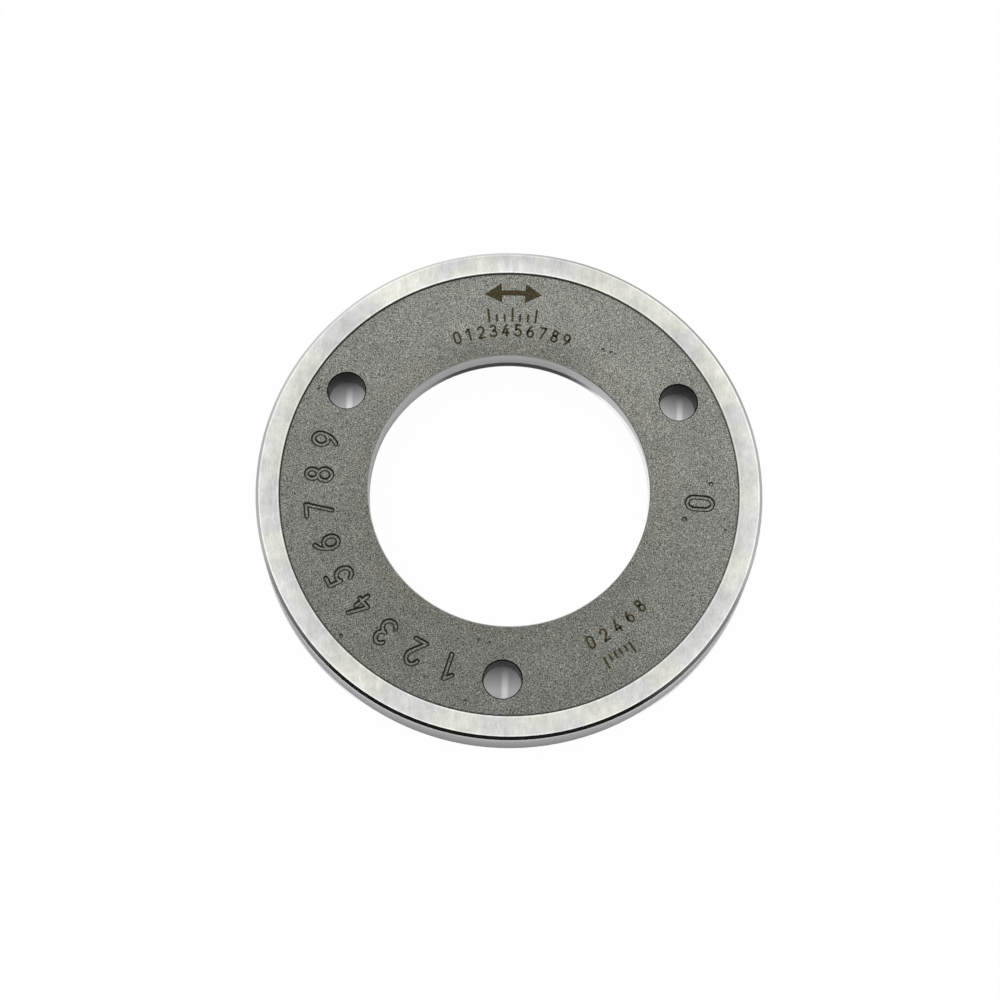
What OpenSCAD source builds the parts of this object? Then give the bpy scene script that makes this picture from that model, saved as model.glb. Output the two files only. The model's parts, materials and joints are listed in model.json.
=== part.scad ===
// Flat grinding burr of a large coffee grinder: one hardened steel ring, cast with its teeth
// and ground flat. It lies on its grinding face, as photographed, with the mounting face up:
// the finishing lands stand on z = 0 and the axis is +Z.

/* [Ring] */
// Outside diameter
outer_d = 98; // [94:0.5:108]
// Height from the finishing lands to the ground back rim
thickness = 10; // [8.5:0.1:14]
// Diameter of the central bore
bore_d = 54.4; // [48:0.1:57]
// Length of the straight bore from the back face
bore_land = 5.2; // [3:0.1:5.8]
// How much wider, on the radius, the bore is where the feed pockets open
bore_relief = 0.4; // [0.1:0.05:0.8]
// Edge break round the back of the bore
bore_edge = 0.2; // [0.05:0.05:0.4]
// Edge break round the grinding side of the outer wall
lip_edge = 0.3; // [0.1:0.05:0.5]

/* [Back face] */
// Width of the ground rim, from the outer wall to the cast field
rim_w = 4.4; // [2.5:0.1:5.5]
// Height of the rim above the cast field
rim_h = 0.3; // [0.1:0.05:0.6]
// Edge break round the back of the outer wall
rim_edge = 0.6; // [0.2:0.05:1]

/* [Screw holes] */
// Number of screw holes
screw_count = 3; // [2:1:4]
// How far the circle of screw holes lies inside the middle between bore and outer wall
screw_shift = 0.6; // [0:0.1:1]
// Diameter of a screw hole
screw_hole_d = 7.3; // [5:0.05:8.5]
// Edge break round the back of a screw hole
screw_hole_edge = 0.22; // [0.1:0.01:0.5]
// Diameter of the countersink for a screw's head
screw_head_d = 13; // [10:0.1:14]
// How far the rim of the countersink lies below the finishing lands
screw_head_drop = 1.2; // [0.8:0.1:2]
// Full angle of the countersink
screw_head_angle = 90; // [82:1:100]

/* [Finishing teeth] */
// Width of the outer band of flat lands
fine_w = 7; // [5:0.1:8]
// Number of fine grooves for each coarse one
fine_per_coarse = 4; // [2:1:4]
// Depth of a fine groove at its inner end
fine_depth_in = 0.43; // [0.35:0.01:0.45]
// Depth of a fine groove at the outer wall
fine_depth_out = 0.15; // [0.1:0.01:0.25]
// Angle between a groove and the radius
groove_skew = 35; // [20:1:40]
// Angle of a groove's steep flank, on the cutting side, from upright
steep_angle = 12; // [5:1:20]
// Angle of a groove's shallow flank from upright
shallow_angle = 62; // [50:1:65]

/* [Coarse teeth] */
// Width of the middle band
coarse_w = 6; // [4.5:0.1:6.5]
// How far the middle band lies below the finishing lands
coarse_drop = 0.5; // [0.46:0.01:0.6]
// Number of coarse grooves for each breaker blade
coarse_per_blade = 3; // [2:1:4]
// Depth of a coarse groove at its inner end, from the finishing lands
coarse_depth_in = 2.2; // [1.6:0.05:2.2]
// Depth of a coarse groove's line where the finishing teeth start
coarse_depth_out = 0.35; // [0.2:0.01:0.4]

/* [Breaker blades] */
// Number of curved blades that crush the beans first
blade_count = 12; // [8:1:14]
// Depth of the feed pockets at the bore, from the finishing lands
pocket_depth_in = 2.35; // [2.3:0.05:2.8]
// Depth of the feed pockets at the middle band
pocket_depth_out = 2.25; // [2.22:0.01:2.3]
// How far a blade's crest lies below the finishing lands at the bore
blade_crest_drop = 0.7; // [0.5:0.05:1.2]
// Gap on the radius between the bore's lower edge and the blades
blade_setback = 0.7; // [0.3:0.1:1.5]
// Thickness of a blade's crest, as an angle round the ring
blade_angle = 4; // [2:0.5:8]
// Angle of a blade's leading flank from upright
blade_face_angle = 10; // [0:1:20]
// Angle of a blade's trailing flank from upright
blade_back_angle = 58; // [40:1:65]

/* [Hidden] */

ring_fn = 180;
hole_fn = 64;
// How far a cutting shape reaches past the surface that it cuts
overrun = 1;
// How deep a blade is rooted in the ring that carries it
blade_root = 0.8;
// Gap between the inner end of a groove and the slope that it starts on
groove_lead = 0.3;

outer_r = outer_d / 2;
bore_r = bore_d / 2;
field_z = thickness - rim_h;
rim_in_r = outer_r - rim_w;
feed_in_r = bore_r + bore_relief;
screw_circle_d = bore_r + outer_r - 2 * screw_shift;
fine_r = outer_r - fine_w;
coarse_r = fine_r - coarse_w;

// The feed pockets rise to the middle band on a 45 degree slope
pocket_out_r = coarse_r - (pocket_depth_out - coarse_drop);

// A blade is an arm of the crescent between two discs that stand off the axis
blade_centre_share = 0.69;
blade_disc_share = 0.48;
blade_centre_r = coarse_r * blade_centre_share;
blade_disc_r = coarse_r * blade_disc_share;
blade_in_r = feed_in_r + blade_setback;
blade_out_r = coarse_r + blade_root;
blade_top_z = pocket_depth_in + blade_root;

coarse_count = blade_count * coarse_per_blade;
fine_count = coarse_count * fine_per_coarse;
coarse_start_r = pocket_out_r - groove_lead;
fine_start_r = fine_r - coarse_drop - groove_lead;

// A coarse groove leads out from each blade's cutting edge, and every so many fine ones go on from it
coarse_turn = disc_edge_angle(coarse_r) + slant_sweep(coarse_start_r, coarse_r, groove_skew);
fine_turn = coarse_turn - slant_sweep(coarse_start_r, fine_start_r, groove_skew);

// Angle round the ring at which a blade's leading edge stands on radius r
function disc_edge_angle(r) =
    acos((r * r + pow(blade_centre_r, 2) - pow(blade_disc_r, 2)) / (2 * r * blade_centre_r));

// Angle round the ring that a straight line sweeps from radius r0, where it leaves at skew, to r1
function slant_sweep(r0, r1, skew) = skew - asin(r0 * sin(skew) / r1);

// Length of a straight line that leaves radius r0 at an angle to it and ends on radius r1
function slant_length(r0, r1, skew) =
    sqrt(r1 * r1 - pow(r0 * sin(skew), 2)) - r0 * cos(skew);

// Section of the ring before its teeth are cut, from the bore round the back to the lands
function ring_section() = [
    [feed_in_r, pocket_depth_in],
    [bore_r, field_z - bore_land],
    [bore_r, field_z - bore_edge],
    [bore_r + bore_edge, field_z],
    [rim_in_r - rim_h, field_z],
    [rim_in_r, thickness],
    [outer_r - rim_edge, thickness],
    [outer_r, thickness - rim_edge],
    [outer_r, lip_edge],
    [outer_r - lip_edge, 0],
    [fine_r, 0],
    [fine_r - coarse_drop, coarse_drop],
    [coarse_r, coarse_drop],
    [pocket_out_r, pocket_depth_out]
];

module ring_blank() {
    rotate_extrude($fn = ring_fn)
        polygon(ring_section());
}

// Space that the blades fill: a sloping crest below, rooted in the ring above
module blade_band() {
    rotate_extrude($fn = ring_fn)
        polygon([
            [blade_in_r, blade_crest_drop],
            [blade_out_r, coarse_drop],
            [blade_out_r, blade_top_z],
            [blade_in_r, blade_top_z]
        ]);
}

// One curved blade: a leaning disc less the same disc turned back, on one side of the ring
module blade_arm() {
    face_lean = blade_top_z * tan(blade_face_angle);
    back_lean = blade_top_z * tan(blade_back_angle);
    intersection() {
        difference() {
            translate([blade_centre_r, 0, 0])
                cylinder(h = blade_top_z, r1 = blade_disc_r, r2 = blade_disc_r + face_lean, $fn = ring_fn);
            rotate([0, 0, -blade_angle])
                translate([blade_centre_r, 0, 0])
                    cylinder(h = blade_top_z, r1 = blade_disc_r, r2 = blade_disc_r - back_lean, $fn = ring_fn);
        }
        cube([outer_r, outer_r, blade_top_z]);
    }
}

module breaker_blades() {
    intersection() {
        blade_band();
        for (i = [0 : blade_count - 1])
            rotate([0, 0, i * 360 / blade_count])
                blade_arm();
    }
}

// A wedge that cuts one straight groove from below, from radius r0, where its floor is
// depth0 above the lands, towards radius r1, where it is depth1
module groove_cut(r0, r1, depth0, depth1, reach) {
    run = slant_length(r0, r1, groove_skew);
    fall = atan((depth0 - depth1) / run);
    wedge_h = depth0 + overrun;
    translate([r0, 0, depth0])
        rotate([0, fall, -groove_skew])
            rotate([90, 0, 90])
                linear_extrude(height = reach)
                    polygon([
                        [0, 0],
                        [-wedge_h * tan(steep_angle), -wedge_h],
                        [wedge_h * tan(shallow_angle), -wedge_h]
                    ]);
}

module coarse_grooves() {
    run = slant_length(coarse_start_r, fine_r, groove_skew);
    run_out = run * coarse_depth_in / (coarse_depth_in - coarse_depth_out);
    for (i = [0 : coarse_count - 1])
        rotate([0, 0, coarse_turn + i * 360 / coarse_count])
            groove_cut(coarse_start_r, fine_r, coarse_depth_in, coarse_depth_out, run_out + overrun);
}

module fine_grooves() {
    run = slant_length(fine_start_r, outer_r, groove_skew);
    for (i = [0 : fine_count - 1])
        rotate([0, 0, fine_turn + i * 360 / fine_count])
            groove_cut(fine_start_r, outer_r, fine_depth_in, fine_depth_out, run + overrun);
}

// Through hole with its edge break at the back and its countersink at the grinding face
module screw_hole() {
    hole_r = screw_hole_d / 2;
    head_r = screw_head_d / 2;
    head_h = (head_r - hole_r) / tan(screw_head_angle / 2);
    translate([0, 0, -overrun])
        cylinder(h = thickness + 2 * overrun, r = hole_r, $fn = hole_fn);
    translate([0, 0, field_z - screw_hole_edge])
        cylinder(h = screw_hole_edge + overrun, r1 = hole_r, r2 = hole_r + screw_hole_edge + overrun, $fn = hole_fn);
    translate([0, 0, -overrun])
        cylinder(h = screw_head_drop + overrun, r = head_r, $fn = hole_fn);
    translate([0, 0, screw_head_drop])
        cylinder(h = head_h, r1 = head_r, r2 = hole_r, $fn = hole_fn);
}

module screw_holes() {
    for (i = [0 : screw_count - 1])
        rotate([0, 0, 30 + i * 360 / screw_count])
            translate([screw_circle_d / 2, 0, 0])
                screw_hole();
}

module burr_ring() {
    color("darkgray")
        difference() {
            union() {
                ring_blank();
                breaker_blades();
            }
            coarse_grooves();
            fine_grooves();
            screw_holes();
        }
}

burr_ring();
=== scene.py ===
"""The looks of a flat coffee grinder burr: blasted cast field, ground rim, stamped dial and etched scales."""

import json
import math

import bmesh
import bpy
from mathutils import Matrix, Vector


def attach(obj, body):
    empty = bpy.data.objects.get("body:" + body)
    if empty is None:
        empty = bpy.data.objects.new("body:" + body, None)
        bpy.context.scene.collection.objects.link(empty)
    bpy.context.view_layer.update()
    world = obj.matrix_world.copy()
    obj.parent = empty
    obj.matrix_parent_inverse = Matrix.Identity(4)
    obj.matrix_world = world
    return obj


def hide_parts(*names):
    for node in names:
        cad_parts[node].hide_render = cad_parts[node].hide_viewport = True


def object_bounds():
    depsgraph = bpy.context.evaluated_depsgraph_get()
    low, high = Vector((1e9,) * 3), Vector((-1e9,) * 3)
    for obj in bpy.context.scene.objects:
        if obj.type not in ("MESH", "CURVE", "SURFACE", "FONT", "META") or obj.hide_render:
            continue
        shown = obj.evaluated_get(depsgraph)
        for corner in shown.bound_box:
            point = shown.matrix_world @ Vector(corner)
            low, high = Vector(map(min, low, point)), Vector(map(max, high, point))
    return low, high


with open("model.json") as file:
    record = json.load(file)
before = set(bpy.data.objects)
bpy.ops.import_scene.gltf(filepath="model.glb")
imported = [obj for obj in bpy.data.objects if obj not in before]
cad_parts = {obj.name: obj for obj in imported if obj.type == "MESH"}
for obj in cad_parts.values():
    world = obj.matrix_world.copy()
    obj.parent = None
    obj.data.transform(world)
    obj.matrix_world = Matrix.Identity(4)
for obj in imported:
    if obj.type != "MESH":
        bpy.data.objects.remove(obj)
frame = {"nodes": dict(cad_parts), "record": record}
CAD_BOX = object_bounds()
MOUNTS = {mount["name"]: mount for mount in frame["record"]["mounts"]}

MM = 0.001


def in_mm(metres):
    """A length of the frame in millimetres, cleared of the file's last digits."""
    return round(metres / MM, 3)


# Sizes of the ring, in millimetres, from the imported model's box and mounts
OUTER_R = in_mm(CAD_BOX[1].x)
THICKNESS = in_mm(CAD_BOX[1].z)
FIELD_Z = in_mm(MOUNTS["screws"]["pos_m"][2])
BORE_R = MOUNTS["bore"]["dims"]["r_mm"]
BORE_LAND_Z = in_mm(MOUNTS["bore"]["pos_m"][2]) - MOUNTS["bore"]["dims"]["length_mm"] / 2
SCREW_R = MOUNTS["screws"]["dims"]["pcd_mm"] / 2
SCREW_HOLE_R = MOUNTS["screws"]["dims"]["hole_r_mm"]
SCREW_COUNT = MOUNTS["screws"]["dims"]["count"]
SCREW_FIRST_DEG = 30.0

# Small sizes of the ring that the mounts don't give: its edge breaks and the bore's widening
RIM_EDGE = 0.6
BORE_EDGE = 0.2
BORE_RELIEF = 0.4
SCREW_HOLE_EDGE = 0.22

# The rim's mount stands in the middle of its flat
RIM_IN_R = round(2 * in_mm(MOUNTS["back_rim"]["pos_m"][0]) - (OUTER_R - RIM_EDGE), 3)

# Camera: fitted to the photograph's outlines, aimed from the front and well above
CAMERA_DISTANCE = 415.1
CAMERA_ELEVATION_DEG = 73.8
CAMERA_ROLL_DEG = 2.95
CAMERA_AZIMUTH_DEG = 0.9
CAMERA_CLIP = 10.0
PIXELS_PER_MM = 5.178
RIM_CENTRE_PX = (509.3, 487.98)
IMAGE_PX = 1000
SENSOR_MM = 36.0

# Stamped dial: plain figures in a ring segment, tops outward, read clockwise
FIGURE_W_SHARE = 0.56
FIGURE_NARROW = 0.86
FIGURE_H = 4.9
STROKE_TOP = 1.06
STROKE_FLOOR = 0.4
STROKE_DEPTH = 0.22
CUTTER_RISE = 0.1
DIAL_R = 36.9
DIAL_FIRST_DEG = 254.0
DIAL_STEP_DEG = -10.9
DIAL_FIGURES = "123456789"
ZERO_DEG = -2.5
DOT_PLACES = ((39.1, 3.4), (34.3, -8.2))
DOT_R = 0.5
DOT_STEPS = 16
DOT_FLOOR_SHARE = 0.55

# Blow holes of the casting: (radius, azimuth, size)
PIT_PLACES = (
    (33.9, 59.0, 0.38),
    (34.3, 56.5, 0.24),
    (34.7, 54.8, 0.2),
    (42.3, -99.3, 0.3),
    (42.4, -9.2, 0.32),
    (42.4, 153.5, 0.28),
    (30.4, -99.0, 0.28),
    (30.6, -95.0, 0.24),
    (43.2, -135.6, 0.38),
    (40.9, -127.4, 0.24),
)
PIT_DEPTH = 0.25

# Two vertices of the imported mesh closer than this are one
WELD = 0.0002
SHARP_DEG = 18.0

# Etched scales: a turning arrow, a row of figures with ticks at the back, and one at the front right
ETCH_TOP_Z = FIELD_Z + 0.012
ETCH_ROOT_Z = FIELD_Z - 0.05
ETCH_LINE = 0.42
SMALL_FIGURE_H = 2.3
ARROW_R = 40.4
ARROW_FROM_DEG = 82.6
ARROW_TO_DEG = 98.8
ARROW_HEAD = 3.4
ARROW_HEAD_HALF = 2.04
ARROW_SHAFT = 1.1
ARROW_STEPS = 24
BACK_TICKS_R = 35.8
BACK_TICKS_DEG = 90.9
BACK_FIGURES_R = 32.5
BACK_FIGURES_DEG = 91.0
SIDE_TICKS_R = 38.9
SIDE_TICKS_DEG = -55.5
SIDE_FIGURES_R = 34.0
SIDE_FIGURES_DEG = -51.0

# Painted light and shade: where the cast field is painted brightest, where the ground rim has a painted
# glint, where the outer edge break is painted dim, and how high up the far side of the bore is painted dark
LIT_DEG = 70.0
PAINTED_GLINT_DEG = 120.0
PAINTED_DIM_EDGE_DEG = 52.0
FLARE_SHADE_Z = 5.6

# Floor: its half width, how far it lies below the lands, and how much of what the camera sees
# of it is plain white light
FLOOR_HALF = 3000.0
FLOOR_DROP = 0.02
FLOOR_SHARE = 0.975
# The patch of painted light on the floor that shows through a screw hole, moved by the slant of the view
PARALLAX_SHARE = 1.018
PATCH_SHIFT = 2.46
PATCH_HALF = 2.9
PATCH_R = 6.0

# Dark card that the polished edge breaks mirror: an arc round the front of the table
CARD_R = 600.0
CARD_H = 360.0
CARD_HALF_DEG = 110.0
CARD_STEPS = 48


class Graph:
    """Adds shader nodes to one tree. Each method gives back an output socket."""

    def __init__(self, tree):
        self.tree = tree

    def add(self, kind, **settings):
        node = self.tree.nodes.new(kind)
        for name, value in settings.items():
            setattr(node, name, value)
        return node

    def feed(self, socket, value):
        if isinstance(value, bpy.types.NodeSocket):
            self.tree.links.new(value, socket)
        else:
            socket.default_value = value

    def show(self, surface):
        """Sends a shader to the material's output."""
        self.feed(self.tree.nodes["Material Output"].inputs["Surface"], surface)

    def math(self, operation, *values, clamp=False):
        node = self.add("ShaderNodeMath", operation=operation, use_clamp=clamp)
        for socket, value in zip(node.inputs, values):
            self.feed(socket, value)
        return node.outputs[0]

    def vector(self, operation, first, second=(0.0, 0.0, 0.0), scale=1.0):
        node = self.add("ShaderNodeVectorMath", operation=operation)
        self.feed(node.inputs[0], first)
        self.feed(node.inputs[1], second)
        if operation == "SCALE":
            self.feed(node.inputs["Scale"], scale)
        return node.outputs["Value" if operation in ("LENGTH", "DISTANCE") else "Vector"]

    def step(self, value, low, high):
        """0 below low, 1 above high, smooth between. With low above high it runs the other way."""
        node = self.add("ShaderNodeMapRange", interpolation_type="SMOOTHSTEP")
        self.feed(node.inputs["Value"], value)
        node.inputs["From Min"].default_value = low
        node.inputs["From Max"].default_value = high
        return node.outputs["Result"]

    def span(self, value, low, high, to_low, to_high):
        """A straight line from to_low at low to to_high at high, held level beyond both."""
        node = self.add("ShaderNodeMapRange")
        self.feed(node.inputs["Value"], value)
        for name, number in zip(("From Min", "From Max", "To Min", "To Max"), (low, high, to_low, to_high)):
            node.inputs[name].default_value = number
        return node.outputs["Result"]

    def mix(self, factor, first, second):
        node = self.add("ShaderNodeMix", data_type="FLOAT")
        for socket, value in zip((node.inputs[0], node.inputs[2], node.inputs[3]), (factor, first, second)):
            self.feed(socket, value)
        return node.outputs[0]

    def blend(self, factor, first, second, mode="MIX"):
        node = self.add("ShaderNodeMix", data_type="RGBA", blend_type=mode)
        for socket, value in zip((node.inputs[0], node.inputs[6], node.inputs[7]), (factor, first, second)):
            self.feed(socket, value)
        return node.outputs[2]

    def noise(self, vector, scale, detail=2.0, roughness=0.5):
        node = self.add("ShaderNodeTexNoise")
        self.feed(node.inputs["Vector"], vector)
        node.inputs["Scale"].default_value = scale
        node.inputs["Detail"].default_value = detail
        node.inputs["Roughness"].default_value = roughness
        return node.outputs["Fac"]

    def cells(self, vector, scale):
        """Grains: how far each point is from its grain's middle, and a random number for each grain."""
        node = self.add("ShaderNodeTexVoronoi")
        self.feed(node.inputs["Vector"], vector)
        node.inputs["Scale"].default_value = scale
        return node.outputs["Distance"], self.xyz(node.outputs["Color"])[0]

    def xyz(self, vector):
        node = self.add("ShaderNodeSeparateXYZ")
        self.feed(node.inputs[0], vector)
        return node.outputs


def new_material(name):
    """A material, its graph and its shader."""
    material = bpy.data.materials.new(name)
    material.use_nodes = True
    tree = material.node_tree
    return material, Graph(tree), tree.nodes["Principled BSDF"]


def grey(level, tint=(1.0, 1.0, 1.0)):
    return tuple(level * part for part in tint) + (1.0,)


def join(g, *parts):
    """A vector or colour socket made of separate numbers."""
    node = g.add("ShaderNodeCombineXYZ")
    for socket, value in zip(node.inputs, parts):
        g.feed(socket, value)
    return node.outputs[0]


def even(g, level):
    """A grey of the given level."""
    return join(g, level, level, level)


def tone(g, level, color):
    """The colour made brighter or darker by a number."""
    return g.blend(1.0, color, even(g, level), "MULTIPLY")


def times(g, *factors):
    """The product of several numbers."""
    product = factors[0]
    for factor in factors[1:]:
        product = g.math("MULTIPLY", product, factor)
    return product


def fade(g, level, mask, share):
    """The level, multiplied by a share where the mask is 1."""
    return g.math("MULTIPLY", level, g.span(mask, 0.0, 1.0, 1.0, share))


def swing(g, noise, reach):
    """A noise made into a factor from 1 - reach to 1 + reach."""
    return g.span(noise, 0.3, 0.7, 1.0 - reach, 1.0 + reach)


def band(g, value, low, high, soft):
    """1 between low and high, 0 outside."""
    return times(g, g.step(value, low - soft, low + soft), g.step(value, high + soft, high - soft))


def place_in_mm(g):
    """A point's place in the ring's own frame, in millimetres."""
    coords = g.add("ShaderNodeTexCoord")
    return g.vector("SCALE", coords.outputs["Object"], scale=1.0 / MM)


def screw_centres():
    angles = [math.radians(SCREW_FIRST_DEG + 360.0 / SCREW_COUNT * i) for i in range(SCREW_COUNT)]
    return [(SCREW_R * math.cos(a), SCREW_R * math.sin(a), 0.0) for a in angles]


class Zones:
    """Where a point of the ring lies: masks made from its place in millimetres and its true normal."""

    def __init__(self, g):
        self.place = place_in_mm(g)
        self.x, self.y, self.z = g.xyz(self.place)
        geometry = g.add("ShaderNodeNewGeometry")
        self.across, depth, self.up = g.xyz(geometry.outputs["True Normal"])
        self.front = g.math("MULTIPLY", depth, -1.0)
        self.flat = join(g, self.x, self.y, 0.0)
        self.radius = g.vector("LENGTH", self.flat)
        self.azimuth = g.math("ARCTAN2", self.y, self.x)
        self.rightward = g.math("DIVIDE", self.x, self.radius)
        self.backward = g.math("DIVIDE", self.y, self.radius)
        self.find_holes(g)
        self.find_edges(g)
        self.find_cast_skin(g)
        self.find_flare_shade(g)

    def find_holes(self, g):
        away = [g.vector("DISTANCE", self.flat, centre) for centre in screw_centres()]
        self.hole = away[0]
        for distance in away[1:]:
            self.hole = g.math("MINIMUM", self.hole, distance)
        edge = SCREW_HOLE_R + SCREW_HOLE_EDGE
        self.in_hole = g.step(self.hole, edge + 0.02, edge - 0.03)

    def find_edges(self, g):
        self.rim = g.step(self.z, THICKNESS - 0.02, THICKNESS - 0.005)
        self.lands = g.step(self.z, 0.02, 0.01)
        near_back = band(g, self.z, THICKNESS - RIM_EDGE - 0.01, THICKNESS - 0.01, 0.005)
        near_outside = g.step(self.radius, OUTER_R - RIM_EDGE - 0.1, OUTER_R - RIM_EDGE)
        self.chamfer = times(g, near_back, near_outside)
        near_field = band(g, self.z, FIELD_Z - BORE_EDGE, FIELD_Z, 0.005)
        near_bore = g.step(self.radius, BORE_R + BORE_EDGE + 0.03, BORE_R + BORE_EDGE)
        self.bore_edge = times(g, near_field, near_bore)

    def find_cast_skin(self, g):
        outside_hole = g.math("SUBTRACT", 1.0, self.in_hole)
        back = g.step(self.z, BORE_LAND_Z + 2.0, BORE_LAND_Z + 3.0)
        below_rim = g.step(self.z, THICKNESS - 0.06, THICKNESS - 0.12)
        inside_rim = g.step(self.radius, RIM_IN_R + 0.02, RIM_IN_R - 0.02)
        off_bore = g.step(self.radius, BORE_R + BORE_EDGE - 0.05, BORE_R + BORE_EDGE + 0.01)
        self.field = times(g, back, below_rim, inside_rim, off_bore, outside_hole)
        self.near_bore = g.step(self.radius, 34.0, 28.0)
        low = g.step(self.z, BORE_LAND_Z - 0.2, BORE_LAND_Z - 0.4)
        above_lands = g.step(self.z, 0.01, 0.03)
        off_outer_wall = g.step(self.radius, OUTER_R - 0.02, OUTER_R - 0.1)
        off_bore_wall = g.step(self.radius, BORE_R + BORE_RELIEF + 0.02, BORE_R + BORE_RELIEF + 0.1)
        self.teeth = times(g, low, above_lands, off_outer_wall, off_bore_wall)

    def find_flare_shade(self, g):
        # Painted shade low on the far side of the bore
        self.in_bore = g.step(self.radius, BORE_R + 1.0, BORE_R + 0.5)
        low = g.step(self.z, FLARE_SHADE_Z + 0.4, FLARE_SHADE_Z - 0.2)
        self.flare_shade = times(g, self.in_bore, low, g.step(self.backward, 0.72, 0.93))


def cast_grain(g, place):
    """The blasted grain: its brightness about 1, a fine noise, and the height of the skin."""
    away = g.cells(place, 4.6)[0]
    fleck = g.cells(place, 8.0)[1]
    speck = g.math("POWER", fleck, 8.0)
    level = g.math("ADD", g.span(away, 0.05, 1.05, 1.96, 0.04), g.span(speck, 0.0, 1.0, -0.2, 1.4))
    fine = g.noise(place, 8.0, 2.0, 0.6)
    height = g.math("SUBTRACT", times(g, fine, 0.8), times(g, away, 0.5))
    return g.math("MAXIMUM", level, 0.2), fine, height


def painted_field_shading(g, zones, cloud, right):
    """Painted light and shade over the field: brighter where the light falls, painted shade near the bore,
    most on its far side, and at the rim's foot.
    """
    from_lit = g.math("SUBTRACT", zones.azimuth, math.radians(LIT_DEG))
    level = times(g, g.span(g.math("COSINE", from_lit), -1.0, 1.0, 0.96, 1.35), swing(g, cloud, 0.07))
    level = fade(g, level, zones.near_bore, 0.97)
    level = fade(g, level, times(g, zones.near_bore, g.step(zones.backward, 0.78, 0.98)), 0.78)
    # Painted shade at the foot of the rim, lighter on the right
    foot = g.step(zones.radius, RIM_IN_R - 0.55, RIM_IN_R - 0.3)
    return times(g, level, g.mix(foot, 1.0, g.mix(right, 0.55, 0.8)))


def painted_flank_shade(g, zones, right):
    """Painted shade on the steep flanks, darker where they face the front: the stamped strokes and the slope
    at the foot of the rim.
    """
    on_slope = g.step(zones.radius, RIM_IN_R - 0.4, RIM_IN_R - 0.35)
    shade = g.span(zones.front, -0.4, 0.4, 0.065, 0.032)
    shade = g.mix(times(g, on_slope, right), shade, 0.13)
    return g.vector("MULTIPLY", even(g, shade), (1.0, 1.0, 0.85))


def cast_finish(g, zones):
    """Blasted cast skin: olive grey, each grain with its own brightness, under painted light and shade.
    Colour, roughness and height.
    """
    grain, fine, height = cast_grain(g, zones.place)
    cloud = g.noise(zones.place, 0.16, 3.0, 0.55)
    right = g.step(zones.rightward, 0.2, 0.7)
    brown = times(g, zones.near_bore, g.step(cloud, 0.35, 0.65))
    color = g.blend(brown, grey(0.222, (1.0, 1.0, 0.91)), grey(0.215, (1.0, 0.99, 0.87)))
    color = tone(g, times(g, grain, painted_field_shading(g, zones, cloud, right)), color)
    # Painted shade on the steep flanks of the strokes and of the rim's slope
    steep = times(g, zones.field, g.step(zones.up, 0.96, 0.88))
    color = g.blend(steep, color, painted_flank_shade(g, zones, right))
    return color, g.span(fine, 0.3, 0.7, 0.5, 0.7), height


def painted_rim_sheen(g, zones):
    """Painted sheen across the rim: its brightness rises outward at the sides and falls at the back."""
    ends = g.math("POWER", g.math("ABSOLUTE", zones.backward), 6.0)
    slope = g.math("SUBTRACT", 0.11, times(g, ends, g.span(zones.backward, -1.0, 1.0, 0.11, 0.25)))
    outward = g.span(zones.radius, RIM_IN_R, OUTER_R, -1.0, 1.0)
    return g.math("ADD", 1.0, times(g, slope, outward))


def painted_rim_highlights(g, zones):
    """1 on the painted highlights: thin bright lines along both edges of the rim."""
    inner = g.step(zones.radius, RIM_IN_R + 0.35, RIM_IN_R + 0.15)
    outer = g.step(zones.radius, OUTER_R - 0.95, OUTER_R - 0.75)
    return g.math("MAXIMUM", inner, outer)


def ground_finish(g, zones):
    """Surface-ground steel with short lay lines, faint warm patches, a painted glint, painted sheen and
    painted edge highlights. Colour, roughness and height.
    """
    lines = g.vector("MULTIPLY", zones.place, (1.0, 0.17, 1.0))
    lay = g.noise(lines, 4.5, 3.0, 0.75)
    streaks = g.noise(lines, 0.8, 2.0, 0.5)
    blotches = g.noise(zones.place, 0.35, 4.0, 0.65)
    patches = g.noise(zones.place, 0.09, 2.0, 0.5)
    # A painted glint: a brighter, warmer stretch of the rim at one azimuth
    from_painted_glint = g.math("ABSOLUTE", g.math("SUBTRACT", zones.azimuth, math.radians(PAINTED_GLINT_DEG)))
    painted_glint = g.step(from_painted_glint, 0.2, 0.05)
    warm = g.math("MAXIMUM", g.step(patches, 0.4, 0.6), painted_glint)
    color = g.blend(warm, grey(0.66, (1.0, 1.0, 0.99)), grey(0.71, (1.0, 1.0, 0.915)))
    level = times(g, swing(g, lay, 0.13), swing(g, streaks, 0.07), swing(g, blotches, 0.12))
    level = times(g, fade(g, level, painted_glint, 1.17), painted_rim_sheen(g, zones))
    level = fade(g, level, painted_rim_highlights(g, zones), 1.25)
    return tone(g, level, color), g.span(lay, 0.3, 0.7, 0.2, 0.32), lay


def painted_outer_wall_light(g, zones):
    """Painted light and shade on the outer wall: dark at its foot, bright below its edge break, and brighter
    at both front quarters.
    """
    level = g.span(zones.z, 0.3, 8.0, 0.16, 0.37)
    level = g.math("ADD", level, times(g, g.step(zones.z, 7.2, 8.6), 0.28))
    level = fade(g, level, g.step(zones.z, 1.5, 0.5), 0.2)
    aside = g.step(g.math("ABSOLUTE", zones.rightward), 0.3, 0.75)
    return fade(g, level, times(g, aside, g.step(zones.backward, 0.1, -0.3)), 1.4)


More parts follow.
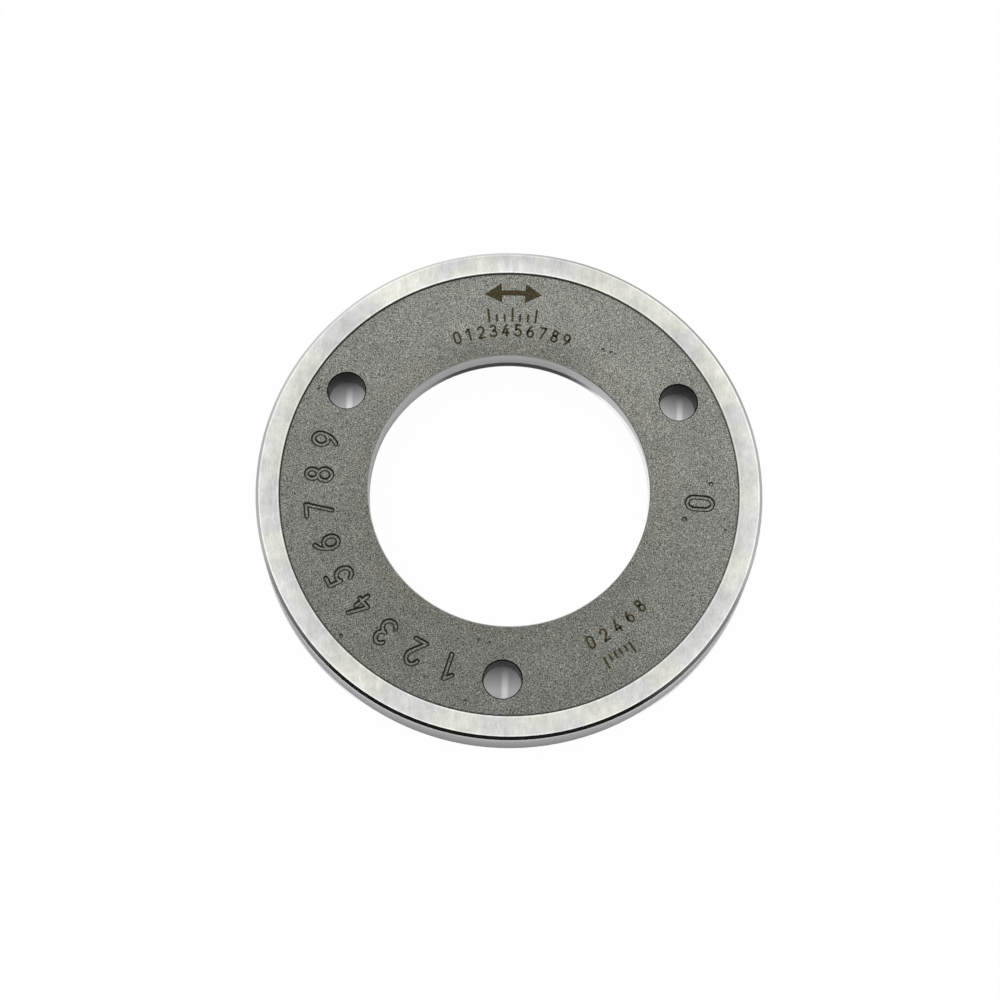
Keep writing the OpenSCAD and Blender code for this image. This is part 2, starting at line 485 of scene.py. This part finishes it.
def painted_bore_light(g, zones):
    """Painted light and shade on the bore's wall: on the right a painted reflection of white paper below a
    slanting line, and painted shade low on the far side.
    """
    glare_top = g.span(zones.backward, 0.0, 0.87, 9.2, 4.7)
    glare = g.step(g.math("SUBTRACT", glare_top, zones.z), -0.3, 0.3)
    right = g.step(zones.rightward, 0.35, 0.6)
    level = g.mix(right, g.span(zones.z, 4.5, 9.5, 0.5, 0.57), g.mix(glare, 0.32, 1.0))
    return g.mix(zones.flare_shade, level, 0.02)


def painted_chamfer_light(g, zones):
    """Painted reflection on the outer edge break: duller at the sides and in one stretch."""
    sides = g.math("POWER", g.math("ABSOLUTE", zones.rightward), 6.0)
    from_dim = g.math("SUBTRACT", zones.azimuth, math.radians(PAINTED_DIM_EDGE_DEG))
    painted_dim = g.step(g.math("COSINE", from_dim), 0.75, 0.95)
    return fade(g, g.span(sides, 0.0, 1.0, 0.66, 0.42), painted_dim, 0.58)


def painted_screw_hole_light(g, zones):
    """Painted light and shade in a screw hole: brighter down its wall, darker at its top and towards the
    front, with a painted black line for its edge break.
    """
    sideways = g.span(g.math("ABSOLUTE", zones.across), 0.2, 0.65, 0.12, 0.3)
    level = g.math("ADD", 0.034, times(g, g.span(zones.z, 4.0, 6.8, 1.0, 0.0), sideways))
    level = times(g, level, g.span(zones.z, 7.6, 9.4, 1.0, 0.3), g.span(zones.y, -30.0, 0.0, 0.8, 1.0))
    edge = g.step(zones.hole, SCREW_HOLE_R + 0.01, SCREW_HOLE_R + 0.03)
    return g.mix(edge, level, 0.012)


def turned_finish(g, zones):
    """Turned walls and their edge breaks: smoother and darker than the ground faces, with painted light and
    shade.
    """
    level = g.mix(zones.in_bore, painted_outer_wall_light(g, zones), painted_bore_light(g, zones))
    level = g.mix(zones.chamfer, level, painted_chamfer_light(g, zones))
    return even(g, g.mix(zones.in_hole, level, painted_screw_hole_light(g, zones)))


def add_bump(g, shader, height):
    bump = g.add("ShaderNodeBump")
    bump.inputs["Strength"].default_value = 1.0
    bump.inputs["Distance"].default_value = 0.02 * MM
    g.feed(bump.inputs["Height"], height)
    g.feed(shader.inputs["Normal"], bump.outputs[0])


def steel_material():
    """One steel: cast skin in the field and the teeth, ground on the rim and the lands, turned elsewhere."""
    material, g, shader = new_material("burr_steel")
    zones = Zones(g)
    cast = g.math("MAXIMUM", zones.field, zones.teeth)
    flat = g.math("MAXIMUM", zones.rim, zones.lands)
    cast_color, cast_rough, cast_height = cast_finish(g, zones)
    ground_color, ground_rough, ground_height = ground_finish(g, zones)
    turned_rough = g.mix(zones.bore_edge, g.mix(zones.chamfer, 0.2, 0.1), 0.5)
    color = g.blend(flat, turned_finish(g, zones), ground_color)
    rough = g.mix(flat, turned_rough, ground_rough)
    height = g.math("ADD", times(g, cast, cast_height), times(g, flat, ground_height, 0.04))
    g.feed(shader.inputs["Base Color"], g.blend(cast, color, cast_color))
    g.feed(shader.inputs["Roughness"], g.mix(cast, rough, cast_rough))
    # Less metallic where the bore's far side has painted shade
    g.feed(shader.inputs["Metallic"], g.span(zones.flare_shade, 0.0, 1.0, 1.0, 0.45))
    shader.inputs["Specular IOR Level"].default_value = 0.0
    add_bump(g, shader, height)
    return material


def etch_material():
    """Brown oxide of a laser mark, broken up by the grain under it."""
    material, g, shader = new_material("etched_oxide")
    grain = g.step(g.noise(place_in_mm(g), 3.0, 2.0, 0.6), 0.4, 0.68)
    color = g.blend(grain, grey(0.04, (1.0, 0.78, 0.32)), grey(0.1, (1.0, 0.86, 0.48)))
    g.feed(shader.inputs["Base Color"], color)
    shader.inputs["Metallic"].default_value = 0.3
    shader.inputs["Roughness"].default_value = 0.7
    shader.inputs["Specular IOR Level"].default_value = 0.2
    return material


def arc(centre, radii, start_deg, end_deg, count=14):
    """Points along an arc of an ellipse."""
    steps = [math.radians(start_deg + (end_deg - start_deg) * i / count) for i in range(count + 1)]
    return [(centre[0] + radii[0] * math.cos(a), centre[1] + radii[1] * math.sin(a)) for a in steps]


def loop(centre, radii, count=22):
    """Points once round an ellipse."""
    steps = [math.tau * i / count for i in range(count)]
    return [(centre[0] + radii[0] * math.cos(a), centre[1] + radii[1] * math.sin(a)) for a in steps]


def figure_strokes(figure):
    """Centre lines of one plain figure in a cell 0.56 wide and 1 high: (points, closed)."""
    wide = FIGURE_W_SHARE
    half = wide / 2
    if figure == "0":
        top = arc((half, 1 - half), (half, half), 0, 180)
        foot = arc((half, half), (half, half), 180, 360)
        return [(top + foot, True)]
    if figure == "1":
        return [([(0.04, 0.78), (0.34, 1.0)], False), ([(0.34, 1.0), (0.34, 0.0)], False)]
    if figure == "2":
        bowl = arc((half, 0.72), (half, 0.28), 170, -38)
        return [(bowl + [(0.02, 0.0)], False), ([(0.02, 0.0), (wide, 0.0)], False)]
    if figure == "3":
        upper = arc((0.25, 0.76), (0.25, 0.24), 155, -90)
        lower = arc((0.26, 0.26), (0.3, 0.26), 90, -155)
        return [(upper, False), (lower, False)]
    if figure == "4":
        return [
            ([(0.36, 1.0), (0.0, 0.28)], False),
            ([(0.0, 0.28), (wide, 0.28)], False),
            ([(0.4, 0.58), (0.4, 0.0)], False),
        ]
    if figure == "5":
        bowl = arc((0.26, 0.31), (0.3, 0.31), 130, -150)
        return [([(0.5, 1.0), (0.08, 1.0)], False), ([(0.08, 1.0), (0.06, 0.54)], False), (bowl, False)]
    if figure == "6":
        back = arc((0.62, 0.29), (0.62, 0.71), 176, 116, 8)
        return [(loop((half, 0.29), (half, 0.29)), True), (back, False)]
    if figure == "7":
        return [([(0.0, 1.0), (wide, 1.0)], False), ([(wide, 1.0), (0.16, 0.0)], False)]
    if figure == "8":
        return [(loop((half, 0.77), (0.23, 0.23)), True), (loop((half, 0.27), (half, 0.27)), True)]
    if figure == "9":
        turned = figure_strokes("6")
        return [([(wide - u, 1.0 - v) for u, v in points], closed) for points, closed in turned]
    raise ValueError(figure)


def cell_point(point, height):
    """A point of a figure's cell, in millimetres from the middle of the figure."""
    return ((point[0] - FIGURE_W_SHARE / 2) * height * FIGURE_NARROW, (point[1] - 0.5) * height)


def left_of(start, end):
    """The unit direction to the left of the way from start to end."""
    along = (end - start).normalized()
    return Vector((-along.y, along.x))


def side_points(points, closed, half_width):
    """The line moved sideways by half_width, with mitred corners."""
    count = len(points)
    moved = []
    for i, point in enumerate(points):
        here = Vector(point)
        sides = []
        if closed or i > 0:
            sides.append(left_of(Vector(points[i - 1]), here))
        if closed or i < count - 1:
            sides.append(left_of(here, Vector(points[(i + 1) % count])))
        middle = sum(sides, Vector((0.0, 0.0))).normalized()
        reach = half_width / max(middle.dot(sides[0]), 0.35)
        moved.append(here + middle * reach)
    return moved


def round_cap(centre, start, steps):
    """Points of a half circle from start to the far side, turning clockwise."""
    arm = start - centre
    turned = []
    for i in range(1, steps):
        angle = -math.pi * i / steps
        turned.append(centre + Vector((
            arm.x * math.cos(angle) - arm.y * math.sin(angle),
            arm.x * math.sin(angle) + arm.y * math.cos(angle),
        )))
    return turned


def open_outline(points, half_width, cap_steps=5):
    """Closed outline round an open line, with round ends."""
    left = side_points(points, False, half_width)
    right = side_points(points, False, -half_width)
    outline = list(left)
    outline += round_cap(Vector(points[-1]), left[-1], cap_steps)
    outline += list(reversed(right))
    outline += round_cap(Vector(points[0]), right[0], cap_steps)
    return outline


def add_wall(bm, lower, upper):
    count = len(lower)
    for i in range(count):
        j = (i + 1) % count
        bm.faces.new((lower[i], lower[j], upper[j], upper[i]))


def add_rings(bm, rings):
    """A solid between outlines that have the same number of points, closed at both ends."""
    made = [[bm.verts.new(p) for p in ring] for ring in rings]
    for lower, upper in zip(made, made[1:]):
        add_wall(bm, lower, upper)
    bm.faces.new(list(reversed(made[0])))
    bm.faces.new(made[-1])


def add_tube(bm, rings):
    """A solid like a picture frame: each outline joined to the next and the last to the first."""
    made = [[bm.verts.new(p) for p in ring] for ring in rings]
    for lower, upper in zip(made, made[1:] + made[:1]):
        add_wall(bm, lower, upper)


def on_ring(radius, azimuth_deg, across, outward, height):
    """A point of a mark placed at (radius, azimuth), with its top outward. Sizes in millimetres."""
    a = math.radians(azimuth_deg)
    out = Vector((math.cos(a), math.sin(a)))
    right = Vector((math.sin(a), -math.cos(a)))
    spot = out * (radius + outward) + right * across
    return Vector((spot.x, spot.y, height)) * MM


def line_solid(bm, points, closed, low, top, place):
    """A solid along a line. low and top are (half width, height); place(u, v, z) gives the point."""
    if closed:
        corners = ((-low[0], low[1]), (-top[0], top[1]), (top[0], top[1]), (low[0], low[1]))
        rings = [[place(p.x, p.y, z) for p in side_points(points, True, half)] for half, z in corners]
        add_tube(bm, rings)
    else:
        rings = [[place(p.x, p.y, z) for p in open_outline(points, half)] for half, z in (low, top)]
        add_rings(bm, rings)


def make_object(name, bm):
    bmesh.ops.recalc_face_normals(bm, faces=bm.faces)
    mesh = bpy.data.meshes.new(name)
    bm.to_mesh(mesh)
    bm.free()
    thing = bpy.data.objects.new(name, mesh)
    bpy.context.scene.collection.objects.link(thing)
    return thing


def stamp_figure(bm, figure, azimuth_deg):
    """Strokes of one figure as cutters that taper to their floor."""
    slope = (STROKE_TOP - STROKE_FLOOR) / STROKE_DEPTH
    top = ((STROKE_TOP + slope * CUTTER_RISE) / 2, FIELD_Z + CUTTER_RISE)
    low = (STROKE_FLOOR / 2, FIELD_Z - STROKE_DEPTH)
    for points, closed in figure_strokes(figure):
        line = [cell_point(point, FIGURE_H) for point in points]
        line_solid(bm, line, closed, low, top, lambda u, v, z: on_ring(DIAL_R, azimuth_deg, u, v, z))


def stamp_dot(bm, radius, azimuth_deg, size, depth):
    """A small round pit with sloping sides."""
    levels = ((size * DOT_FLOOR_SHARE, FIELD_Z - depth), (size, FIELD_Z), (size, FIELD_Z + CUTTER_RISE))
    rings = []
    for reach, z in levels:
        spots = loop((0.0, 0.0), (reach, reach), DOT_STEPS)
        rings.append([on_ring(radius, azimuth_deg, u, v, z) for u, v in spots])
    add_rings(bm, rings)


def dial_cutter():
    bm = bmesh.new()
    for i, figure in enumerate(DIAL_FIGURES):
        stamp_figure(bm, figure, DIAL_FIRST_DEG + DIAL_STEP_DEG * i)
    stamp_figure(bm, "0", ZERO_DEG)
    for radius, azimuth in DOT_PLACES:
        stamp_dot(bm, radius, azimuth, DOT_R, STROKE_DEPTH)
    for radius, azimuth, size in PIT_PLACES:
        stamp_dot(bm, radius, azimuth, size, PIT_DEPTH)
    return make_object("dial_cutter", bm)


def welded_copy(cad_ring):
    """A closed copy of the ring's own mesh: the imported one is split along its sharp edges."""
    mesh = cad_ring.data.copy()
    bm = bmesh.new()
    bm.from_mesh(mesh)
    bmesh.ops.remove_doubles(bm, verts=bm.verts, dist=WELD * MM)
    bm.to_mesh(mesh)
    bm.free()
    if "custom_normal" in mesh.attributes:
        mesh.attributes.remove(mesh.attributes["custom_normal"])
    return mesh


def cut_away(thing, cutter):
    """Takes the cutter's solids out of the thing, and the cutter out of the scene."""
    boolean = thing.modifiers.new("stamp", "BOOLEAN")
    boolean.operation = "DIFFERENCE"
    boolean.solver = "EXACT"
    boolean.use_self = True
    boolean.object = cutter
    bpy.context.view_layer.update()
    evaluated = thing.evaluated_get(bpy.context.evaluated_depsgraph_get())
    stamped = bpy.data.meshes.new_from_object(evaluated)
    thing.modifiers.clear()
    thing.data = stamped
    bpy.data.objects.remove(cutter)


def stamped_ring(cad_ring):
    """A copy of the ring with the dial stamped into its field."""
    ring = bpy.data.objects.new("stamped_ring", welded_copy(cad_ring))
    bpy.context.scene.collection.objects.link(ring)
    cut_away(ring, dial_cutter())
    ring.data.shade_smooth()
    ring.data.set_sharp_from_angle(angle=math.radians(SHARP_DEG))
    ring.data.materials.clear()
    ring.data.materials.append(steel_material())
    return ring


def etch_line(bm, points, closed, place):
    """One etched line: a thin closed plate that stands a hair above the field."""
    half = ETCH_LINE / 2
    line_solid(bm, points, closed, (half, ETCH_ROOT_Z), (half, ETCH_TOP_Z), place)


def etch_figure(bm, figure, radius, azimuth_deg, upright):
    """A small figure. upright is 1 with its top outward and -1 with its top inward."""
    for points, closed in figure_strokes(figure):
        line = [cell_point(point, SMALL_FIGURE_H) for point in points]
        etch_line(bm, line, closed, lambda u, v, z: on_ring(radius, azimuth_deg, u * upright, v * upright, z))


def etch_row(bm, figures, radius, middle_deg, pitch_deg, inward=False):
    """A row of small figures read clockwise, their tops outward, or the other way round."""
    turn = 1.0 if inward else -1.0
    for i, figure in enumerate(figures):
        azimuth = middle_deg + turn * (i - (len(figures) - 1) / 2) * pitch_deg
        etch_figure(bm, figure, radius, azimuth, -turn)


def etch_ticks(bm, radius, middle_deg, pitch_deg, count, long_every, length):
    """A row of ticks read clockwise, the ones between the long ones half as long."""
    for i in range(count):
        azimuth = middle_deg - (i - (count - 1) / 2) * pitch_deg
        reach = length if i % long_every == 0 else length * 0.5
        line = [(0.0, -length / 2), (0.0, reach - length / 2)]
        etch_line(bm, line, False, lambda u, v, z: on_ring(radius, azimuth, u, v, z))


def etch_arrow(bm):
    """An arc with a head at each end: the ring turns both ways when it is set."""
    def along(degrees, outward, z):
        return on_ring(ARROW_R + outward, degrees, 0.0, 0.0, z)
    head_deg = math.degrees(ARROW_HEAD / ARROW_R)
    half = ARROW_SHAFT / 2
    start, end = ARROW_FROM_DEG + head_deg, ARROW_TO_DEG - head_deg
    sweep = [start + (end - start) * i / ARROW_STEPS for i in range(ARROW_STEPS + 1)]
    outline = [(ARROW_FROM_DEG, 0.0), (start, ARROW_HEAD_HALF)]
    outline += [(a, half) for a in sweep]
    outline += [(end, ARROW_HEAD_HALF), (ARROW_TO_DEG, 0.0), (end, -ARROW_HEAD_HALF)]
    outline += [(a, -half) for a in reversed(sweep)]
    outline += [(start, -ARROW_HEAD_HALF)]
    add_rings(bm, [[along(a, outward, z) for a, outward in outline] for z in (ETCH_ROOT_Z, ETCH_TOP_Z)])


def etched_scales():
    """The brown marks on the field: turning arrow, rows of figures and ticks."""
    bm = bmesh.new()
    etch_arrow(bm)
    etch_ticks(bm, BACK_TICKS_R, BACK_TICKS_DEG, pitch_deg=2.5, count=7, long_every=3, length=2.6)
    etch_row(bm, "0123456789", BACK_FIGURES_R, BACK_FIGURES_DEG, pitch_deg=4.3)
    etch_row(bm, "02468", SIDE_FIGURES_R, SIDE_FIGURES_DEG, pitch_deg=5.0, inward=True)
    etch_ticks(bm, SIDE_TICKS_R, SIDE_TICKS_DEG, pitch_deg=1.7, count=6, long_every=5, length=2.2)
    scales = make_object("etched_scales", bm)
    scales.data.materials.append(etch_material())
    return scales


def painted_patch_glow(g, across, along, lean):
    """Painted light on the table under one hole: paler towards the front and one side, with a soft painted
    streak.
    """
    near = g.span(along, -PATCH_HALF, PATCH_HALF, 1.0, 0.0)
    streak = times(g, band(g, across, -0.05, 1.1, 0.3), g.span(near, 0.2, 0.9, 0.0, 0.2))
    level = g.math("ADD", g.span(near, 0.0, 1.0, 0.018, 0.36), streak)
    middle = 1.0 + 0.2 * abs(lean)
    return times(g, level, g.span(across, -3.0, 3.0, middle + 0.38 * lean, middle - 0.38 * lean))


def painted_hole_light(g, place):
    """Painted light on the table under the screw holes, and 1 where it shows through them."""
    x, y = g.xyz(place)[:2]
    glow, inside = 0.0, 0.0
    for centre in screw_centres():
        across = g.math("SUBTRACT", x, centre[0] * PARALLAX_SHARE)
        along = g.math("SUBTRACT", y, centre[1] + PATCH_SHIFT)
        patch = g.step(g.vector("LENGTH", join(g, across, along, 0.0)), PATCH_R + 0.5, PATCH_R)
        level = times(g, painted_patch_glow(g, across, along, centre[0] / SCREW_R), patch)
        glow = g.math("MAXIMUM", glow, level)
        inside = g.math("MAXIMUM", inside, patch)
    return glow, inside


def clear_share(g, radius, side_share):
    """How much of the open floor is plain light: all but a thin contact shadow at the ring's sides."""
    from_wall = g.step(radius, OUTER_R - 2.0, OUTER_R - 1.0)
    to_open = g.step(radius, OUTER_R + 0.4, OUTER_R + 0.1)
    at_side = g.step(g.math("ABSOLUTE", side_share), 0.5, 0.75)
    return g.span(times(g, from_wall, to_open, at_side), 0.0, 1.0, FLOOR_SHARE, 0.0)


def mirror_share(g, radius, side_share, ringed):
    """How much of the floor is plain light in mirrors: none near the ring but inside its bore's right."""
    around = times(g, g.step(radius, 8.0, 22.0), g.step(radius, 95.0, 60.0))
    glare = times(g, g.step(side_share, 0.3, 0.6), g.step(radius, BORE_R + 1.0, BORE_R))
    close = times(g, g.math("MAXIMUM", around, ringed), g.math("SUBTRACT", 1.0, glare))
    return g.mix(close, 0.9, 0.0)


def floor_light(g, place):
    """How much of the floor is plain light for each ray, and the level of that light, with painted light
    under the screw holes.
    """
    radius = g.vector("LENGTH", place)
    side_share = g.math("DIVIDE", g.xyz(place)[0], radius)
    off_bore = g.step(radius, BORE_R + 1.4, BORE_R + 2.4)
    ringed = times(g, off_bore, g.step(radius, OUTER_R - 1.0, OUTER_R - 2.0))
    glow, inside = painted_hole_light(g, place)
    path = g.add("ShaderNodeLightPath")
    seen = path.outputs["Is Camera Ray"]
    mirrored = g.math("MAXIMUM", path.outputs["Is Glossy Ray"], path.outputs["Is Transmission Ray"])
    to_camera = times(g, seen, g.mix(ringed, clear_share(g, radius, side_share), inside))
    to_mirror = times(g, mirrored, mirror_share(g, radius, side_share, ringed))
    share = g.math("ADD", to_camera, to_mirror, clamp=True)
    return share, g.mix(times(g, seen, ringed), 1.0, glow)


def floor_material():
    """White paper. The camera sees it nearly shadowless, mirrors see its true shade close to the ring."""
    material, g, shader = new_material("pale_floor")
    shader.inputs["Base Color"].default_value = grey(0.92)
    shader.inputs["Roughness"].default_value = 0.8
    share, level = floor_light(g, place_in_mm(g))
    lamp = g.add("ShaderNodeEmission")
    g.feed(lamp.inputs["Color"], even(g, level))
    mixed = g.add("ShaderNodeMixShader")
    for socket, value in zip(mixed.inputs, (share, shader.outputs[0], lamp.outputs[0])):
        g.feed(socket, value)
    g.show(mixed.outputs[0])
    return material


def make_floor():
    bm = bmesh.new()
    bmesh.ops.create_grid(bm, x_segments=8, y_segments=8, size=FLOOR_HALF * MM)
    floor = make_object("floor", bm)
    floor.location.z = -FLOOR_DROP * MM
    floor.data.materials.append(floor_material())


def card_material():
    """Dark card, black straight in front and greyer towards its ends."""
    material, g, shader = new_material("dark_card")
    coords = g.add("ShaderNodeTexCoord")
    x, y = g.xyz(coords.outputs["Object"])[:2]
    azimuth = g.math("ARCTAN2", x, g.math("MULTIPLY", y, -1.0))
    right = g.span(azimuth, math.radians(40), math.radians(100), 0.0, 0.6)
    left = g.span(azimuth, math.radians(-50), math.radians(-100), 0.0, 0.6)
    ends = g.math("ADD", g.math("MAXIMUM", right, 0.0), g.math("MAXIMUM", left, 0.0))
    glow = g.add("ShaderNodeEmission")
    g.feed(glow.inputs["Color"], even(g, g.math("ADD", ends, 0.01)))
    g.show(glow.outputs[0])
    return material


def make_card():
    """A curved card round the front of the table. The polished edge breaks mirror it."""
    bm = bmesh.new()
    columns = []
    for i in range(CARD_STEPS + 1):
        a = math.radians(-90 + CARD_HALF_DEG * (2 * i / CARD_STEPS - 1))
        x, y = CARD_R * math.cos(a), CARD_R * math.sin(a)
        columns.append([bm.verts.new(Vector((x, y, z)) * MM) for z in (0.0, CARD_H)])
    for (low, high), (next_low, next_high) in zip(columns, columns[1:]):
        bm.faces.new((low, next_low, next_high, high))
    card = make_object("dark_card", bm)
    card.data.materials.append(card_material())
    card.visible_camera = False
    card.visible_diffuse = False
    card.visible_shadow = False


def make_world():
    """A soft white dome, a little dimmer towards the horizon."""
    world = bpy.data.worlds.new("studio")
    world.use_nodes = True
    g = Graph(world.node_tree)
    background = world.node_tree.nodes["Background"]
    coords = g.add("ShaderNodeTexCoord")
    height = g.xyz(coords.outputs["Generated"])[2]
    g.feed(background.inputs["Color"], even(g, g.span(height, 0.0, 0.6, 0.72, 1.0)))
    background.inputs["Strength"].default_value = 1.0
    bpy.context.scene.world = world


def camera_frame(focal_px):
    """The fitted view's place in millimetres and its axes, with the lens axis through the image's middle."""
    elevation = math.radians(CAMERA_ELEVATION_DEG)
    roll = math.radians(CAMERA_ROLL_DEG)
    aim = Vector((0.0, -math.cos(elevation), math.sin(elevation)))
    right = Vector((1.0, 0.0, 0.0))
    up = aim.cross(right)
    rolled_right = right * math.cos(roll) + up * math.sin(roll)
    rolled_up = up * math.cos(roll) - right * math.sin(roll)
    shift_x = (RIM_CENTRE_PX[0] - IMAGE_PX / 2) / focal_px
    shift_y = (IMAGE_PX / 2 - RIM_CENTRE_PX[1]) / focal_px
    back = (aim + rolled_right * shift_x + rolled_up * shift_y).normalized()
    across = (rolled_right - back * rolled_right.dot(back)).normalized()
    upward = back.cross(across)
    turn = Matrix.Rotation(math.radians(-CAMERA_AZIMUTH_DEG), 3, "Z")
    axes = turn @ Matrix((across, upward, back)).transposed()
    spot = turn @ (aim * CAMERA_DISTANCE) + Vector((0.0, 0.0, THICKNESS))
    return spot, axes


def make_camera():
    focal_px = PIXELS_PER_MM * CAMERA_DISTANCE
    spot, axes = camera_frame(focal_px)
    data = bpy.data.cameras.new("camera")
    data.sensor_width = SENSOR_MM
    data.lens = SENSOR_MM * focal_px / IMAGE_PX
    data.clip_start = CAMERA_CLIP * MM
    camera = bpy.data.objects.new("camera", data)
    camera.matrix_world = Matrix.Translation(spot * MM) @ axes.to_4x4()
    bpy.context.scene.collection.objects.link(camera)
    bpy.context.scene.camera = camera


def make_ring():
    ring = stamped_ring(frame["nodes"]["burr_ring"])
    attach(ring, "root")
    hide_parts("burr_ring")


def make_scales():
    scales = etched_scales()
    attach(scales, "root")


def main():
    bpy.context.scene.view_settings.view_transform = "Standard"
    make_camera()
    make_world()
    make_floor()
    make_card()
    make_ring()
    make_scales()


main()
